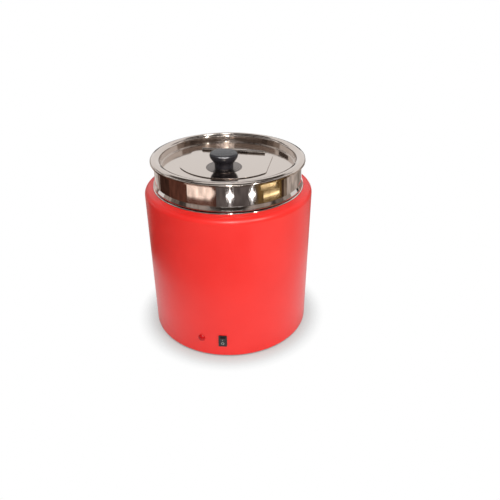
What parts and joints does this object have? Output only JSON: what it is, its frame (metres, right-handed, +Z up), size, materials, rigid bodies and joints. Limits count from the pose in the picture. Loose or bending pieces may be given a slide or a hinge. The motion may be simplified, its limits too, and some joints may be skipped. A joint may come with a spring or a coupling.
{
  "type": "soup station",
  "caption": "Round wet-heat soup kettle with a red powder-coated shell, lift-out steel pot, dished lid with hinged serving flap and knob, rocker switch and pilot lamp.",
  "frame": {"origin": "on the table under the feet, on the axis of the kettle", "axes": "+Z up along the kettle's axis, -Y towards the front with the switch, +X to the right seen from the front"},
  "size_m": [0.3199, 0.3322, 0.3663],
  "materials": {
    "red_coat": "satin powder coat",
    "polished_steel": "polished",
    "satin_steel": "satin",
    "zinc_steel": "zinc plated",
    "cast_aluminium": "cast",
    "heater_sheath": "oxidised",
    "brass": "bright",
    "black_rubber": "matt",
    "grey_silicone": "matt",
    "black_phenolic": "polished moulding",
    "black_nylon": "moulded",
    "red_lens": "clear tinted",
    "white_ceramic": "unglazed",
    "mineral_wool": "felted",
    "lead_sleeve": "matt"
  },
  "bodies": {
    "kettle": {"outer_shell": "red_coat", "base_plate": "zinc_steel", "base_tabs": "zinc_steel", "base_screws": "zinc_steel", "rubber_feet": "black_rubber", "foot_screws": "zinc_steel", "foot_nuts": "zinc_steel", "well_pan": "polished_steel", "well_gasket": "grey_silicone", "insulation_wrap": "mineral_wool", "heater_plate": "cast_aluminium", "heater_tube": "heater_sheath", "heater_clamp": "zinc_steel", "centre_stud": "zinc_steel", "stud_nuts": "zinc_steel", "thermostat": "white_ceramic", "thermal_cutout": "black_nylon", "stat_fixings": "zinc_steel", "terminal_block": "white_ceramic", "terminal_screws": "brass", "earth_screw": "brass", "earth_nut": "brass", "lamp_lens": "red_lens", "lamp_holder": "black_nylon", "lamp_nut": "zinc_steel", "switch_housing": "black_nylon", "switch_tabs": "brass", "cord_gland": "black_nylon", "gland_locknut": "black_nylon", "wiring_leads": "lead_sleeve"},
    "pot": {"inner_pot": "polished_steel"},
    "lid": {"lid_dish": "polished_steel", "hinge_leaf": "satin_steel", "hinge_pin": "satin_steel"},
    "flap": {"lid_flap": "polished_steel", "knob_seat": "satin_steel", "knob": "black_phenolic", "knob_screw": "zinc_steel"},
    "rocker": {"switch_rocker": "black_nylon"}
  },
  "joints": [
    {"name": "pot_lift", "type": "slide", "parent": "kettle", "child": "pot", "axis": [0, 0, 1], "range_m": [0, 0.24]},
    {"name": "lid_lift", "type": "slide", "parent": "pot", "child": "lid", "axis": [0, 0, 1], "range_m": [0, 0.12]},
    {"name": "flap_hinge", "type": "hinge", "parent": "lid", "child": "flap", "pos_m": [0.00841, 0.06209, 0.33948], "axis": [-0.9848, 0.1736, 0], "range_deg": [0, 105]},
    {"name": "switch_rock", "type": "hinge", "parent": "kettle", "child": "rocker", "pos_m": [-0.01066, -0.16045, 0.039], "axis": [-0.9978, 0.0663, 0], "range_deg": [0, 16]}
  ]
}
